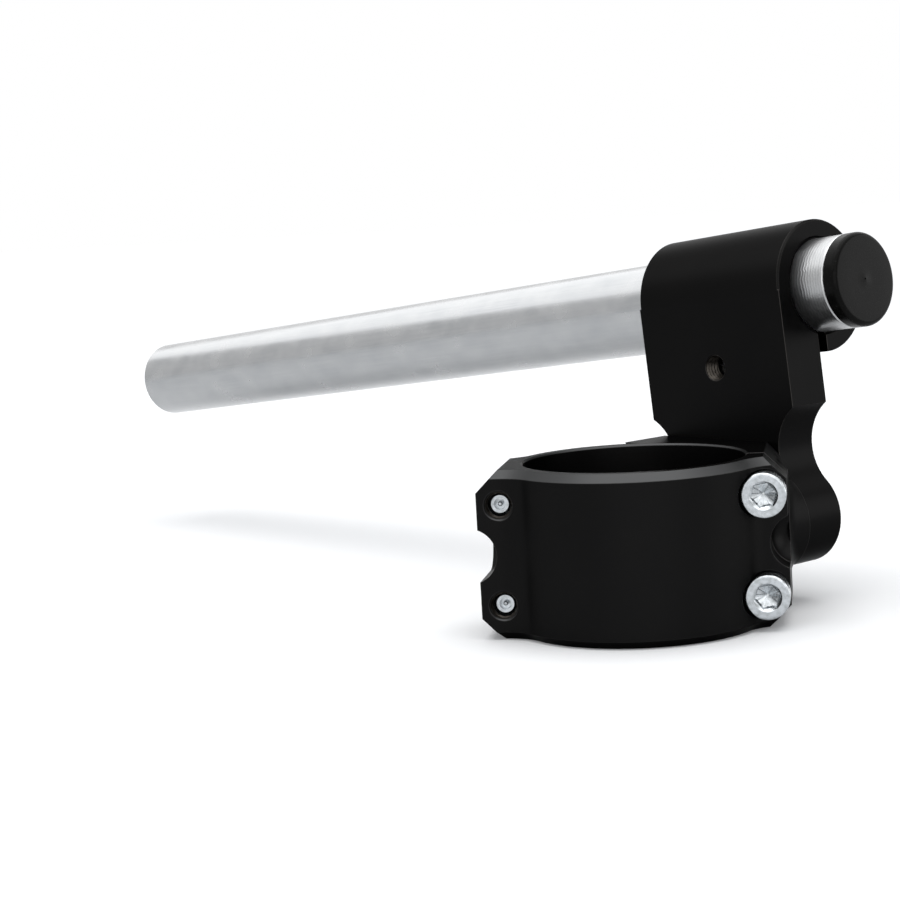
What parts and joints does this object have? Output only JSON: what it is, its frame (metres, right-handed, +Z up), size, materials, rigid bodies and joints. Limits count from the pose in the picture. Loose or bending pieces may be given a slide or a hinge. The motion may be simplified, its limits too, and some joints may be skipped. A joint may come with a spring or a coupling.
{
  "type": "clip-on handlebar half",
  "caption": "Clip-on handlebar half for a motorbike fork: split clamp, bolted riser with pinch housing, and bare bar tube with end plug.",
  "frame": {"origin": "centre of the fork bore at mid height of the clamp", "axes": "+Z up the fork along the clamp's bore, +X along the clamp flanges to the inboard side, +Y from the loose clamp half to the half that carries the riser"},
  "size_m": [0.233, 0.2353, 0.0885],
  "materials": {
    "bar_satin": "satin drawn tube",
    "plug_black": "half-gloss moulded",
    "black_anodised": "black anodised, satin, with machined edges",
    "screw_zinc": "bright zinc plated steel, turned faces"
  },
  "bodies": {
    "root": {"handlebar_tube": "bar_satin", "bar_end_plug": "plug_black", "riser": "black_anodised", "clamp_inner_half": "black_anodised", "clamp_outer_half": "black_anodised", "pinch_screw": "screw_zinc", "riser_screw_inboard": "screw_zinc", "riser_screw_outboard": "screw_zinc", "riser_screw_upper": "screw_zinc", "clamp_screw_inboard_upper": "screw_zinc", "clamp_screw_inboard_lower": "screw_zinc", "clamp_screw_outboard_upper": "screw_zinc", "clamp_screw_outboard_lower": "screw_zinc"}
  },
  "joints": []
}
